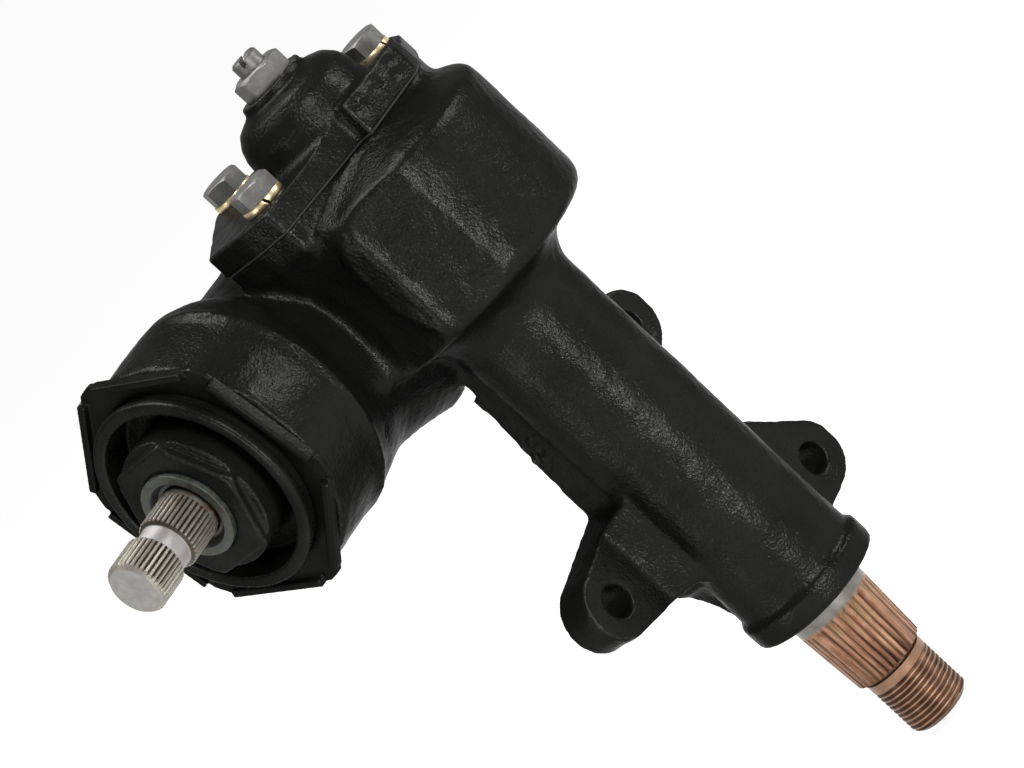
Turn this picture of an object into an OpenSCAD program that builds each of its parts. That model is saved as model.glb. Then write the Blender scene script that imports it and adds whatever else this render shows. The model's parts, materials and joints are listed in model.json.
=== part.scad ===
// Manual recirculating-ball steering gearbox, millimetres, +Z towards the side cover.
// The sector shaft's axis is Z and its thread shoulder is z = 0. The worm lies along X.

/* [Gear train] */
// distance from the sector axis to the worm axis
center_distance = 45; // [45:0.1:45.6]
// height of the worm axis above the thread shoulder
worm_height = 197; // [196:0.5:198]
// turns of the worm for one turn of the sector
gear_ratio = 20; // [19:0.5:21]
// pitch radius of the sector gear
sector_pitch_radius = 26; // [25.6:0.1:26]
// module of the rack and sector teeth
tooth_module = 4.5; // [4.4:0.05:4.6]
// pressure angle of the rack, degrees
pressure_angle = 25; // [24:0.5:26]
// play between rack and sector teeth along the pitch line
tooth_play = 0.5; // [0.4:0.05:0.7]
// height of the sector gear along its axis
gear_height = 30; // [26:1:31]

/* [Worm and ball nut] */
// radius of the recirculating balls
ball_radius = 2.9; // [2.8:0.05:2.95]
// radius of the circle the ball centres follow
ball_circle_radius = 10; // [9.8:0.1:10.1]
// gap between a ball and the worm groove
groove_clearance = 0.27; // [0.25:0.01:0.35]
// outside radius of the worm thread
worm_radius = 10.75; // [10.6:0.05:10.8]
// length of the grooved part of the worm
worm_thread_length = 80; // [79:1:84]
// length of the ball nut
nut_length = 54; // [52:1:55]
// outside radius of the ball nut
nut_radius = 18; // [17.5:0.25:18.5]
// balls in each circuit
circuit_balls = 15; // [12:1:15]

/* [Input end] */
// diameter of the input spline
input_diameter = 19.05; // [18.5:0.05:19.1]
// x of the input shaft's tip
input_tip_x = 137.3; // [134:0.1:140]
// serrations on the input spline
input_serrations = 36; // [24:1:36]
// x where the clamp groove starts
input_groove_x = 117.5; // [115:0.5:119]
// width of the clamp groove
input_groove_width = 6.6; // [5:0.2:7]
// x of the adjuster rim's front
adjuster_front_x = 97.2; // [96.5:0.1:99]
// radius of the adjuster rim
adjuster_rim_radius = 36; // [35.8:0.1:36.4]
// radius of the recess inside the rim
adjuster_recess_radius = 31.6; // [30:0.2:32.4]
// depth of the recess
adjuster_recess_depth = 13; // [8:0.5:15]
// hexagon across flats
adjuster_hex_flats = 43; // [41:0.5:44]
// how far the hexagon stands in front of the rim
adjuster_hex_proud = 6.4; // [4:0.2:7]
// outside radius of the worm seal
worm_seal_radius = 15.4; // [14.6:0.1:16]
// lock ring across flats over its tabs
lock_ring_flats = 83; // [82:0.25:84]
// lock ring plate thickness
lock_ring_thickness = 2; // [1.6:0.1:2.4]
// depth of the folded tabs measured from the plate's back
lock_tab_depth = 4.2; // [3.6:0.2:4.8]
// length of one tab
lock_tab_length = 36; // [30:1:36]

/* [Housing] */
// radius of the gear drum
drum_radius = 44.7; // [44:0.1:45.5]
// x of the flat on the drum's input side
drum_flat_x = 40; // [39:0.25:42]
// height of the drum's rim above the worm axis
drum_above = 28; // [27:0.25:29]
// depth of the drum's underside below the worm axis
drum_below = 23; // [22.5:0.25:25]
// radius of the worm case
worm_case_radius = 37; // [36.5:0.25:37.5]
// radius of the input neck
neck_radius = 42.5; // [42:0.25:44]
// x of the neck's front face
neck_front_x = 89; // [88:0.25:89.5]
// radius of the sector tube
tube_radius = 22.5; // [22:0.25:23.5]
// radius of the lip at the tube's end
lip_radius = 24.2; // [24:0.1:25]
// length of the lip
lip_length = 9; // [7:0.5:11]
// z of the tube's end
tube_end = 33; // [32.5:0.25:34]
// radius of a mounting ear
ear_radius = 12.6; // [12:0.1:14]
// radius of a mounting bolt hole
ear_hole_radius = 5.15; // [4.5:0.05:5.6]
// y of the ears' near face
ear_face_y = -11; // [-12:0.25:-10]
// thickness of the ears
ear_thickness = 14; // [13.5:0.25:15]
// how far the cast fillet between tube and ear reaches from the axis
ear_fillet_reach = 30.3; // [29:0.1:31]
// radius of that fillet
ear_fillet_radius = 11.8; // [11:0.1:12.5]
// radius of the spot faces on the two rear ears
spot_face_radius = 9.3; // [8.5:0.1:10]

/* [Side cover] */
// height of the cover seat above the worm case
seat_rise = 1.4; // [1:0.1:2]
// height of the seat's straight wall
seat_wall = 8; // [7:0.25:9]
// gasket thickness
gasket_thickness = 0.6; // [0.4:0.1:1]
// cover flange thickness
flange_thickness = 8; // [7:0.25:9]
// height of the ledge on the flange's edge
cover_ledge_rise = 3.5; // [2.5:0.25:4.5]
// radius of the cover's dome
dome_radius = 22.2; // [21.5:0.1:22.5]
// height of the cover's boss above the flange
boss_rise = 20.6; // [20:0.2:22]
// cover bolt shank diameter
cover_bolt_diameter = 7.9; // [7:0.1:8]
// cover bolt head across flats
cover_bolt_flats = 12.7; // [12:0.1:13]
// cover bolt head height
cover_bolt_head = 5.6; // [5:0.1:6.5]
// lash adjuster screw diameter
lash_screw_diameter = 9.5; // [9:0.1:9.6]
// lash locknut across flats
locknut_flats = 16; // [15:0.25:17]
// lash locknut thickness
locknut_thickness = 6.6; // [5.5:0.1:7]
// length of screw above the locknut
lash_screw_proud = 4.6; // [3:0.2:6]

/* [Output shaft] */
// sector shaft journal diameter
sector_diameter = 28.575; // [28.4:0.025:28.6]
// length of the output spline
output_spline_length = 26.4; // [24:0.2:27]
// diameter at the small end of the spline
output_spline_small = 25.9; // [25:0.1:26.5]
// serrations around the output spline, blind ones included
output_serrations = 36; // [32:4:36]
// output thread diameter
output_thread_diameter = 22.225; // [21.5:0.025:22.3]
// output thread length
output_thread_length = 21.6; // [19:0.1:23]
// running gap of the journals
running_gap = 0.05; // [0.03:0.01:0.09]

/* [Hidden] */
$fn = 64;
press_gap = 0.02;
lead = 2 * PI * sector_pitch_radius / gear_ratio;
rack_offset = center_distance - sector_pitch_radius;
tooth_pitch = PI * tooth_module;
addendum = 0.75 * tooth_module;
dedendum = 0.95 * tooth_module;
base_radius = sector_pitch_radius * cos(pressure_angle);
tooth_angle = 360 * tooth_module / (2 * sector_pitch_radius);
groove_radius = ball_radius + groove_clearance;
nut_bore = worm_radius + 0.35;
ball_chamber = ball_circle_radius + ball_radius + 0.2;
circuit_centre = 11;
circuit_reach = 9.2;
worm_bore = 27;
chamber_radius = 33;
gear_bottom = worm_height - gear_height / 2;
gear_top = worm_height + gear_height / 2;
chamber_floor = gear_bottom - 1.5;
chamber_top = gear_top + 4;
drum_top = worm_height + drum_above;
drum_bottom = worm_height - drum_below;
case_drop = 3;
neck_drop = 0.5;
seat_top = worm_height + worm_case_radius - case_drop + seat_rise;
upper_bushing_length = 36;
upper_bushing_z = gear_bottom - 6 - upper_bushing_length;
lower_bushing_length = 30;
lower_bushing_z = tube_end + 13;
sector_seal_radius = 19;
sector_seal_depth = 8;
bearing_cup_radius = 22;
cup_depth = 6;
sector_radius = sector_diameter / 2;
bushing_radius = sector_radius + 2.2;
flange_bottom = seat_top + gasket_thickness;
flange_top = flange_bottom + flange_thickness;
boss_top = flange_top + boss_rise;
bolt_spots = [[33.5, -1.5], [-36, -0.5], [0.5, -49]];
washer_thickness = 2.1;
cover_edge = [[9.5, 20.8], [45.5, 9.2], [48, -4], [48, -22], [13, -51.5], [5, -57.5], [-4, -58.5], [-12, -53],
    [-48, -22], [-47.5, -6], [-45.7, 1], [-40.5, 10], [-27, 22.5], [-20, 26.8], [9.5, 26.3]];
cover_hole = bushing_radius + 3;
slot_floor = flange_bottom + 10;
journal_top = slot_floor + 9;
guide_radius = 3.4;
guide_bow = nut_radius + 0.5 + guide_radius + 0.3;
race_radius = 13.5;
race_ball = 3.57;
race_gap = 0.3;
upper_ball_x = 62;
lower_ball_x = -54;
race_balls = 10;
thread_radius = 35;
tab_angle = 10;
hex_angle = 32;
ear_spots = [[46.3, 81.7], [-49.7, 51.2], [-37, 124.6]];
ear_roots = [[[19.7, 99.5], [20, 64]], [[-22, 95], [-20, 35.5]], [[-16, 142], [-20, 103]]];

function arc_points(cx, cy, r, a0, a1, n) =
    [for (i = [0:n]) let (a = a0 + (a1 - a0) * i / n) [cx + r * cos(a), cy + r * sin(a)]];
function involute(a) = tan(a) - a * PI / 180;
function flank_angle(r) = let (rr = max(r, base_radius))
    (tooth_pitch / 2 - tooth_play / 2) / (2 * sector_pitch_radius) * 180 / PI
    + (involute(pressure_angle) - involute(acos(base_radius / rr))) * 180 / PI;
function tangent_to(p, c, r, side) = let (d = norm(c - p), a = atan2(c[1] - p[1], c[0] - p[0]),
    h = asin(r / d), l = sqrt(d * d - r * r)) [p[0] + l * cos(a + side * h), p[1] + l * sin(a + side * h)];

module on_worm_axis() {
    translate([0, -center_distance, worm_height])
        rotate([0, 90, 0]) children();
}

module hex_prism(flats, height) {
    cylinder(r = flats / sqrt(3), h = height, $fn = 6);
}

module cover_outline(inset) {
    polygon([for (p = cover_edge) p * (1 - inset / norm(p))]);
}

module ear_outline(i) {
    c = ear_spots[i];
    top = ear_roots[i][0];
    low = ear_roots[i][1];
    side = sign(c[0]);
    translate(c) circle(r = ear_radius);
    polygon([[0, top[1]], top, tangent_to(top, c, ear_radius, side), c,
        tangent_to(low, c, ear_radius, -side), low, [0, low[1]]]);
}

module ear_plate(i) {
    translate([0, ear_face_y, 0]) rotate([90, 0, 0]) linear_extrude(ear_thickness) ear_outline(i);
    intersection() {
        mirror([ear_spots[i][0] > 0 ? 0 : 1, 0, 0]) linear_extrude(worm_height) difference() {
            translate([0, ear_face_y - 1]) square([ear_fillet_reach, 16]);
            translate([ear_fillet_reach + 3.3, ear_face_y + 12.8]) circle(r = ear_fillet_radius);
        }
        translate([0, 10, 0]) rotate([90, 0, 0]) linear_extrude(30) ear_outline(i);
    }
}

module ear_bore(i) {
    spot = i > 0 ? 0.5 : 0;
    translate([ear_spots[i][0], ear_face_y + 1, ear_spots[i][1]]) rotate([90, 0, 0]) {
        cylinder(r = ear_hole_radius, h = ear_thickness + 2);
        translate([0, 0, 1 + spot]) cylinder(r1 = ear_hole_radius + 0.8, r2 = ear_hole_radius, h = 0.8);
        cylinder(r = i > 0 ? spot_face_radius : ear_hole_radius + 0.8, h = 1 + spot);
    }
}

module back_pad() {
    right = [[8.3, 41], [12, 51], [16, 58], [20, 61.5], [19.7, 98], [18.8, 122], [17, worm_height - 63],
        [16.7, worm_height - 56], [17, worm_height - 46], [17, worm_height - 21]];
    deep = ear_thickness - ear_face_y - 8;
    difference() {
        translate([0, -8, 0]) rotate([90, 0, 0]) linear_extrude(deep)
            polygon(concat(right, [[-19, worm_height - 21], [-19, 36], [8, 36]]));
        translate([-60, -8 - deep - 1, worm_height - 47]) cube([120, 4, 40]);
    }
}

module drum_and_tube() {
    profile = concat([[0, tube_end], [lip_radius - 0.8, tube_end], [lip_radius, tube_end + 0.8],
            [lip_radius, tube_end + lip_length - 0.8], [tube_radius, tube_end + lip_length]],
        arc_points(tube_radius + 14, drum_bottom - 15, 14, 180, 100, 6),
        arc_points(drum_radius - 6, drum_bottom + 6, 6, -70, 0, 4),
        arc_points(drum_radius - 5, drum_top - 5, 5, 0, 60, 4), [[24, seat_top - 0.3], [0, seat_top - 0.3]]);
    difference() {
        rotate_extrude($fn = 96) polygon(profile);
        translate([drum_flat_x, -60, drum_bottom - 6]) cube([20, 120, drum_top - drum_bottom + 20]);
    }
}

module worm_case() {
    profile = concat([[0, -66], [24, -66]], arc_points(worm_case_radius - 9, -57, 9, -80, 0, 4),
        [[worm_case_radius, 52], [0, 52]]);
    neck = [[0, 36], [28, 36], [35, 46.5], [38.3, 50.5], [neck_radius - 2.1, 54], [neck_radius - 1, 57],
        [neck_radius - 0.3, 60], [neck_radius, 63.5], [neck_radius, neck_front_x - 1],
        [neck_radius - 1, neck_front_x], [0, neck_front_x]];
    waist = [for (p = [[-37, 36], [-0.1, 36], [0.1, 40.5], [0.9, 46], [1.7, 50.5], [2.3, 54], [2.8, 58], [2.8, 62],
        [-37, 62]]) [max(0, worm_case_radius + p[0]), p[1]]];
    flare = [for (p = [[-37, -2], [9, -2], [9, 0], [6, 1.2], [3.9, 2.8], [2.5, 5], [1.6, 8], [1, 10], [-37, 10]])
        [max(0, worm_case_radius + p[0]), drum_flat_x + p[1]]];
    skirt = [for (p = [[-37, 12], [10.4, 12], [10, 14.8], [8.4, 19.3], [6.5, 26.3], [4.7, 33.2], [3.3, 39], [2.6, 46],
        [-37, 46]]) [max(0, worm_case_radius + p[0]), p[1]]];
    translate([0, 0, -case_drop]) on_worm_axis() rotate_extrude($fn = 96) polygon(profile);
    translate([0, 0, -neck_drop]) on_worm_axis() rotate_extrude($fn = 96) polygon(neck);
    translate([0, 0, -case_drop]) on_worm_axis() rotate_extrude($fn = 96) polygon(waist);
    intersection() {
        translate([0, 0, -case_drop]) on_worm_axis() rotate_extrude($fn = 96) polygon(flare);
        translate([30, -center_distance, drum_bottom + 1]) cube([30, 80, drum_top - drum_bottom - 2]);
    }
    intersection() {
        on_worm_axis() rotate_extrude($fn = 96) polygon(skirt);
        translate([8, 9 - center_distance, worm_height - 49]) cube([40, 32, 28]);
    }
}

module housing() {
    color([0.05, 0.05, 0.05]) difference() {
        union() {
            drum_and_tube();
            worm_case();
            translate([0, 0, seat_top - seat_wall]) linear_extrude(seat_wall) cover_outline(0.8);
            translate([0, 0, seat_top - seat_wall - 12]) linear_extrude(12.5, scale = 1.25)
                scale(0.8) cover_outline(1);
            back_pad();
            for (i = [0:2]) ear_plate(i);
        }
        translate([0, 0, chamber_floor]) cylinder(r = chamber_radius, h = chamber_top - chamber_floor);
        translate([0, 0, chamber_top - 1]) linear_extrude(seat_top - chamber_top + 2) union() {
            circle(r = cover_hole);
            intersection() {
                circle(r = 31);
                polygon([[0, 0], [-50, -42], [50, -42]]);
            }
        }
        on_worm_axis() translate([0, 0, lower_ball_x + cup_depth])
            cylinder(r = worm_bore, h = upper_ball_x - lower_ball_x - cup_depth);
        on_worm_axis() translate([0, 0, lower_ball_x - cup_depth]) cylinder(r = bearing_cup_radius, h = 20);
        on_worm_axis() translate([0, 0, upper_ball_x - 4]) cylinder(r = thread_radius, h = neck_front_x - upper_ball_x + 10);
        translate([0, 0, tube_end - 1]) cylinder(r = sector_radius + 0.8, h = chamber_floor - tube_end + 2);
        translate([0, 0, lower_bushing_z]) cylinder(r = bushing_radius, h = lower_bushing_length);
        translate([0, 0, upper_bushing_z]) cylinder(r = bushing_radius, h = chamber_floor - upper_bushing_z + 1);
        translate([0, 0, tube_end - 1]) cylinder(r = sector_seal_radius, h = sector_seal_depth + 1);
        for (p = bolt_spots) translate([p[0], p[1], seat_top - 12])
            cylinder(d = cover_bolt_diameter + 2 * press_gap, h = 20);
        for (i = [0:2]) ear_bore(i);
    }
}

module side_cover() {
    profile = [[0, flange_bottom + 1], [29, flange_bottom + 1], [29, flange_top], [dome_radius + 3, flange_top + 0.8],
        [dome_radius + 0.8, flange_top + 2.6], [dome_radius, flange_top + 5.5], [dome_radius - 0.3, flange_top + 9],
        [dome_radius - 1.5, boss_top - 8.1], [dome_radius - 4.2, boss_top - 4.8], [14.4, boss_top - 3.2],
        [12.2, boss_top - 2.6], [11.6, boss_top - 1.8], [12, boss_top - 0.8], [11.6, boss_top], [0, boss_top]];
    color([0.05, 0.05, 0.05]) difference() {
        union() {
            translate([0, 0, flange_bottom]) linear_extrude(flange_thickness) cover_outline(0);
            translate([0, 0, flange_top - 1]) linear_extrude(1 + cover_ledge_rise) intersection() {
                cover_outline(0.3);
                translate([-30, 21.8]) square([39.2, 12]);
            }
            intersection() {
                rotate_extrude() polygon(profile);
                translate([0, 0, flange_bottom]) linear_extrude(60) cover_outline(0);
            }
        }
        translate([0, 0, flange_bottom - 1]) cylinder(r = bushing_radius, h = 21.5);
        translate([0, 0, flange_bottom + 10]) cylinder(d = lash_screw_diameter + 2 * press_gap, h = 60);
        for (p = bolt_spots) translate([p[0], p[1], flange_bottom - 1])
            cylinder(d = cover_bolt_diameter + 0.8, h = 40);
        for (p = bolt_spots) translate([p[0], p[1], flange_top]) cylinder(d = 15.4, h = 20);
    }
}

module cover_gasket() {
    color([0.2, 0.18, 0.15]) translate([0, 0, seat_top]) linear_extrude(gasket_thickness) difference() {
        cover_outline(0.4);
        circle(r = cover_hole);
        intersection() {
            circle(r = 31);
            polygon([[0, 0], [-50, -42], [50, -42]]);
        }
        for (p = bolt_spots) translate(p) circle(d = cover_bolt_diameter + 0.8);
    }
}

module cover_bolts() {
    color([0.55, 0.55, 0.55]) for (i = [0:2]) translate([bolt_spots[i][0], bolt_spots[i][1], 0]) union() {
        translate([0, 0, seat_top - 8.5])
            cylinder(d = cover_bolt_diameter, h = flange_top + washer_thickness - seat_top + 9);
        translate([0, 0, flange_top + washer_thickness]) rotate([0, 0, 10 + 25 * i])
            intersection() {
                hex_prism(cover_bolt_flats, cover_bolt_head);
                rotate_extrude() polygon([[0, 0], [7.5, 0], [7.5, cover_bolt_head - 0.8],
                    [6.1, cover_bolt_head], [0, cover_bolt_head]]);
            }
    }
}

module cover_lock_washers() {
    color([0.75, 0.6, 0.25]) for (i = [0:2])
        translate([bolt_spots[i][0], bolt_spots[i][1], flange_top]) difference() {
            cylinder(d = 14.6, h = washer_thickness);
            translate([0, 0, -1]) cylinder(d = cover_bolt_diameter + 0.6, h = washer_thickness + 2);
            rotate([0, 0, 60 + 40 * i]) translate([3, -0.4, -1]) rotate([20, 0, 0]) cube([8, 0.8, 6]);
        }
}

module lash_adjuster_screw() {
    top = boss_top + locknut_thickness + lash_screw_proud;
    color([0.5, 0.5, 0.5]) difference() {
        union() {
            translate([0, 0, slot_floor + 1.1]) cylinder(r = 6.4, h = 4);
            translate([0, 0, slot_floor + 2]) cylinder(d = lash_screw_diameter, h = top - slot_floor - 2.8);
            translate([0, 0, top - 0.8]) cylinder(d1 = lash_screw_diameter, d2 = lash_screw_diameter - 1.4, h = 0.8);
        }
        rotate([0, 0, 35]) translate([-10, -0.8, top - 2.4]) cube([20, 1.6, 5]);
    }
}

module lash_locknut() {
    color([0.55, 0.55, 0.55]) translate([0, 0, boss_top]) difference() {
        rotate([0, 0, 12]) intersection() {
            hex_prism(locknut_flats, locknut_thickness);
            rotate_extrude() polygon([[0, 0], [9, 0], [9, locknut_thickness - 1],
                [7.2, locknut_thickness], [0, locknut_thickness]]);
        }
        translate([0, 0, -1]) cylinder(d = lash_screw_diameter + 2 * press_gap, h = 12);
    }
}

module lash_shim() {
    color([0.6, 0.6, 0.6]) translate([0, 0, slot_floor + 0.3]) cylinder(r = 6.2, h = 0.8);
}

module sector_tooth(i) {
    steps = 6;
    root = sector_pitch_radius - dedendum;
    tip = sector_pitch_radius + addendum;
    radii = [for (k = [0:steps]) base_radius + (tip - base_radius) * k / steps];
    left = [for (r = radii) let (a = 270 - flank_angle(r)) [r * cos(a), r * sin(a)]];
    right = [for (k = [steps:-1:0]) let (r = radii[k], a = 270 + flank_angle(r)) [r * cos(a), r * sin(a)]];
    foot = flank_angle(base_radius) + 1.5;
    rotate([0, 0, i * tooth_angle]) polygon(concat([[0, 0], [root * cos(270 - foot), root * sin(270 - foot)]],
        left, right, [[root * cos(270 + foot), root * sin(270 + foot)]]));
}

module sector_shaft() {
    spline_top = 2 + output_spline_length;
    small = output_spline_small / 2;
    slope = atan((sector_radius - small) / output_spline_length);
    thread = output_thread_diameter / 2;
    root = sector_pitch_radius - dedendum;
    color([0.6, 0.45, 0.35]) difference() {
        union() {
            rotate_extrude() polygon([[0, -output_thread_length], [thread - 1.6, -output_thread_length],
                [thread, 1.6 - output_thread_length], [thread, 0], [thread - 1, 0.4], [thread - 1, 1.4],
                [small, 2], [sector_radius, spline_top], [sector_radius, journal_top - 1],
                [sector_radius - 1, journal_top], [0, journal_top]]);
            translate([0, 0, gear_bottom]) cylinder(r = 18.5, h = gear_height);
            translate([0, 0, gear_bottom]) linear_extrude(gear_height) intersection() {
                circle(r = root + 0.2);
                polygon([[0, 0], [-60, -34], [-60, -80], [60, -80], [60, -34]]);
            }
            translate([0, 0, gear_bottom]) linear_extrude(gear_height) for (i = [-1:1]) sector_tooth(i);
        }
        translate([-20, -6.8, slot_floor]) cube([40, 13.6, 5.6]);
        translate([-20, -lash_screw_diameter / 2 - 0.3, slot_floor + 2])
            cube([40, lash_screw_diameter + 0.6, 20]);
        for (i = [0:output_serrations - 1]) if (i % (output_serrations / 4) != 0)
            rotate([0, 0, (i + 0.5) * 360 / output_serrations]) translate([small - 0.95, 0, 1])
                rotate([0, slope, 0]) translate([0, 0, -3]) linear_extrude(output_spline_length + 1.5)
                    polygon([[0, 0], [2.4, -1.75], [2.4, 1.75]]);
    }
}

module bushing(z, h) {
    color([0.7, 0.55, 0.3]) translate([0, 0, z]) difference() {
        cylinder(r = bushing_radius - press_gap, h = h);
        translate([0, 0, -1]) cylinder(r = sector_radius + running_gap, h = h + 2);
    }
}

module cover_bushing() {
    bushing(flange_bottom + 1, 19.5);
}

module tube_bushing_upper() {
    bushing(upper_bushing_z, upper_bushing_length);
}

module tube_bushing_lower() {
    bushing(lower_bushing_z, lower_bushing_length);
}

module sector_seal() {
    color([0.1, 0.1, 0.1]) translate([0, 0, tube_end + 0.4]) difference() {
        cylinder(r = sector_seal_radius - press_gap, h = sector_seal_depth - 0.4);
        translate([0, 0, -1]) cylinder(r = sector_radius + running_gap, h = 10);
        translate([0, 0, -1]) cylinder(r1 = 17.2, r2 = 15.4, h = 4);
    }
}

module worm_thread() {
    steps = 24;
    turns = worm_thread_length / lead;
    reach = sqrt(pow(groove_radius, 2) - pow(ball_circle_radius - worm_radius, 2));
    shape = concat([for (i = [0:steps]) let (a = -180 + 360 * i / steps, s = lead * a / 360)
        let (r = abs(s) < reach ? ball_circle_radius - sqrt(pow(groove_radius, 2) - s * s) : worm_radius)
        if (i < steps) [min(r, worm_radius) * cos(a), min(r, worm_radius) * sin(a)]]);
    translate([0, 0, -worm_thread_length / 2]) rotate([0, 0, -180 * turns])
        linear_extrude(worm_thread_length, twist = -360 * turns, slices = round(turns * 16), $fn = 24)
            polygon(shape);
}

module race_cone(x, dir) {
    tip = race_radius - (race_ball + race_gap) * sqrt(2);
    rotate([0, dir > 0 ? 0 : 180, 0]) translate([0, 0, dir * x]) rotate_extrude()
        polygon([[0, -7.5], [race_radius - 1.5, -7.5], [race_radius, -6.5], [race_radius, -race_radius + tip],
            [tip + 1.5, -1.5], [0, -1.5]]);
}

module worm_shaft() {
    r = input_diameter / 2;
    half = worm_thread_length / 2;
    color([0.75, 0.74, 0.72]) on_worm_axis() difference() {
        union() {
            worm_thread();
            translate([0, 0, half - 1]) cylinder(r = 9.2, h = upper_ball_x - half - 4);
            translate([0, 0, lower_ball_x + 5]) cylinder(r = 9.2, h = -half - lower_ball_x - 4);
            race_cone(upper_ball_x, 1);
            race_cone(lower_ball_x, -1);
            translate([0, 0, lower_ball_x - 3]) cylinder(r = 7, h = 6);
            rotate_extrude() polygon([[0, upper_ball_x - 4], [r - 0.4, upper_ball_x - 4], [r - 0.4, 103.4], [r, 103.8],
                [r, input_groove_x - 0.6], [r - 1.5, input_groove_x + 0.6],
                [r - 1.5, input_groove_x + input_groove_width - 0.6], [r, input_groove_x + input_groove_width + 0.6],
                [r, input_tip_x - 1.4], [r - 1.3, input_tip_x], [0, input_tip_x]]);
        }
        for (i = [0:input_serrations - 1]) rotate([0, 0, i * 360 / input_serrations])
            translate([r - 0.75, 0, 105.6]) linear_extrude(input_tip_x - 104)
                polygon([[0, 0], [1.4, -1.05], [1.4, 1.05]]);
    }
}

module ball_nut() {
    half = (tooth_pitch / 2 + tooth_play / 2) / 2;
    tip = rack_offset + addendum;
    root = rack_offset - dedendum;
    wide = half + (addendum + 1) * tan(pressure_angle);
    narrow = half - dedendum * tan(pressure_angle);
    end = 1.5 * tooth_pitch + tooth_pitch / 4;
    color([0.6, 0.6, 0.6]) difference() {
        union() {
            on_worm_axis() translate([0, 0, -nut_length / 2]) cylinder(r = nut_radius, h = nut_length);
            translate([-nut_length / 2, -center_distance, gear_bottom + 1])
                cube([nut_length, tip, gear_height - 2]);
            translate([3 - nut_length / 2, -center_distance - nut_radius - 0.5, worm_height - 11])
                cube([nut_length - 6, 12, 22]);
        }
        translate([0, -center_distance, worm_height - 25]) linear_extrude(50) {
            for (i = [-1:1]) translate([i * tooth_pitch, 0])
                polygon([[-narrow, root], [narrow, root], [wide, tip + 1], [-wide, tip + 1]]);
            polygon([[end + 2, root], [end + 12, root], [end + 12, tip + 1], [end - 2, tip + 1]]);
            polygon([[-end - 2, root], [-end - 12, root], [-end - 12, tip + 1], [-end + 2, tip + 1]]);
        }
        on_worm_axis() translate([0, 0, -40]) cylinder(r = nut_bore, h = 80);
        for (s = [-1, 1]) on_worm_axis() translate([0, 0, s * circuit_centre - circuit_reach])
            cylinder(r = ball_chamber, h = 2 * circuit_reach);
        for (s = [-1, 1], e = [-1, 1])
            translate([s * circuit_centre + e * 5.2, -center_distance, worm_height + e * 5.2])
                rotate([90, 0, 0]) cylinder(r = 3.7, h = 30);
        for (s = [-1, 1]) translate([0, -center_distance - nut_radius + 6.4, worm_height + s * 8])
            rotate([90, 0, 0]) cylinder(r = 1.9, h = 20);
    }
}

module ball_circuit(s) {
    span = 1.5 * lead;
    color([0.8, 0.8, 0.8]) on_worm_axis() for (i = [0:circuit_balls - 1]) {
        x = s * circuit_centre - span / 2 + span * i / (circuit_balls - 1);
        a = 360 * x / lead;
        translate([ball_circle_radius * cos(a), ball_circle_radius * sin(a), x])
            sphere(r = ball_radius, $fn = 24);
    }
}

module ball_circuit_front() {
    ball_circuit(1);
}

module ball_circuit_rear() {
    ball_circuit(-1);
}

module ball_guide(s) {
    span = 10.4 * sqrt(2);
    color([0.65, 0.65, 0.65]) translate([s * circuit_centre, -center_distance, worm_height]) union() {
        for (e = [-1, 1]) translate([e * 5.2, 0, e * 5.2]) {
            translate([0, -14, 0]) rotate([90, 0, 0]) cylinder(r = guide_radius + 0.05, h = guide_bow - 14);
            translate([0, -guide_bow, 0]) sphere(r = guide_radius + 0.25, $fn = 32);
        }
        translate([0, -guide_bow, 0]) rotate([0, 45, 0]) translate([0, 0, -span / 2])
            cylinder(r = guide_radius, h = span);
    }
}

module ball_guide_front() {
    ball_guide(1);
}

module ball_guide_rear() {
    ball_guide(-1);
}

module guide_clamp() {
    seat = center_distance + nut_radius + 0.5;
    color([0.5, 0.5, 0.5]) difference() {
        translate([-4, -seat - 1.6, worm_height - 10.8]) cube([8, 1.6, 21.6]);
        for (s = [-1, 1]) translate([0, -seat + 1, worm_height + s * 8]) rotate([90, 0, 0])
            cylinder(r = 1.9, h = 6);
        for (s = [-1, 1]) translate([s * circuit_centre, -center_distance - guide_bow, worm_height])
            rotate([0, 45, 0]) translate([0, 0, -12]) cylinder(r = 3.75, h = 24);
        for (s = [-1, 1], e = [-1, 1]) translate([s * circuit_centre + e * 5.2, -seat + 2, worm_height + e * 5.2])
            rotate([90, 0, 0]) cylinder(r = 3.75, h = 8);
    }
}

module clamp_screws() {
    seat = center_distance + nut_radius + 0.5;
    color([0.3, 0.3, 0.3]) for (s = [-1, 1]) translate([0, -seat, worm_height + s * 8]) rotate([90, 0, 0]) union() {
        translate([0, 0, -6]) cylinder(r = 1.85, h = 8);
        translate([0, 0, 1.6]) cylinder(r = 2.5, h = 1.8);
    }
}

module race_set(x, dir) {
    on_worm_axis() rotate([0, dir > 0 ? 0 : 180, 0]) translate([0, 0, dir * x]) children();
}

module bearing_cup(x, dir) {
    line = race_radius + (race_ball + race_gap) * sqrt(2);
    color([0.6, 0.6, 0.62]) race_set(x, dir) rotate_extrude()
        polygon([[10.4, cup_depth], [bearing_cup_radius - press_gap, cup_depth],
            [bearing_cup_radius - press_gap, -3], [line + 0.5, -3], [line + 0.5, -0.5],
            [line - 4.5, 4.5], [10.4, 4.5]]);
}

module bearing_balls(x, dir) {
    color([0.8, 0.8, 0.8]) race_set(x, dir) for (i = [0:race_balls - 1])
        rotate([0, 0, i * 360 / race_balls]) translate([race_radius, 0, 0]) sphere(r = race_ball, $fn = 24);
}

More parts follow.
